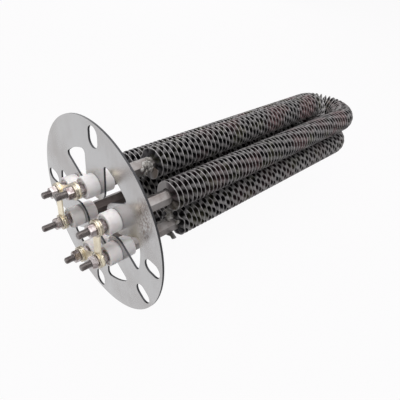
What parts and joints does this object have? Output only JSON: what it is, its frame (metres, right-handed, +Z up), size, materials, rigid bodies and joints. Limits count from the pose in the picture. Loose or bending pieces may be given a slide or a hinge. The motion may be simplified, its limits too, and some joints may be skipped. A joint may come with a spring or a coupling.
{
  "type": "finned flange heater",
  "caption": "Round slotted flange carrying U-shaped heating elements wound with crimped strip fins, with ceramic bushes, threaded terminals and brass links.",
  "frame": {"origin": "centre of the flange's face on the side of the elements, which seats on the wall it is bolted to", "axes": "+X along the elements, from the flange to their far bends; +Z up through the top slot; the terminals are on the -X side"},
  "size_m": [0.3565, 0.15, 0.15],
  "materials": {
    "flange_steel": "polished stainless sheet",
    "ceramic": "white glazed steatite",
    "stud_steel": "dark threaded steel",
    "nut_steel": "plain steel hexagon",
    "brass": "pale brass sheet",
    "lead_steel": "drawn hexagon bar",
    "sheath_steel": "heat-tinted tube",
    "fin_steel": "heat-tinted crimped strip"
  },
  "bodies": {
    "root": {"flange_plate": "flange_steel", "front_insulator_top": "ceramic", "rear_insulator_top": "ceramic", "terminal_stud_top": "stud_steel", "cold_lead_top": "lead_steel", "front_insulator_upper_left": "ceramic", "rear_insulator_upper_left": "ceramic", "terminal_stud_upper_left": "stud_steel", "cold_lead_upper_left": "lead_steel", "front_insulator_lower_left": "ceramic", "rear_insulator_lower_left": "ceramic", "terminal_stud_lower_left": "stud_steel", "cold_lead_lower_left": "lead_steel", "front_insulator_bottom": "ceramic", "rear_insulator_bottom": "ceramic", "terminal_stud_bottom": "stud_steel", "cold_lead_bottom": "lead_steel", "front_insulator_lower_right": "ceramic", "rear_insulator_lower_right": "ceramic", "terminal_stud_lower_right": "stud_steel", "cold_lead_lower_right": "lead_steel", "front_insulator_upper_right": "ceramic", "rear_insulator_upper_right": "ceramic", "terminal_stud_upper_right": "stud_steel", "cold_lead_upper_right": "lead_steel", "inner_nuts": "nut_steel", "outer_nuts": "nut_steel", "inner_washers": "brass", "outer_washers": "brass", "spacer_washers": "brass", "link_top_left": "brass", "link_left_side": "brass", "link_bottom_right": "brass", "link_right_side": "brass", "sheath_tube_middle": "sheath_steel", "fin_strip_middle": "fin_steel", "sheath_tube_upper": "sheath_steel", "fin_strip_upper": "fin_steel", "sheath_tube_lower": "sheath_steel", "fin_strip_lower": "fin_steel"}
  },
  "joints": []
}
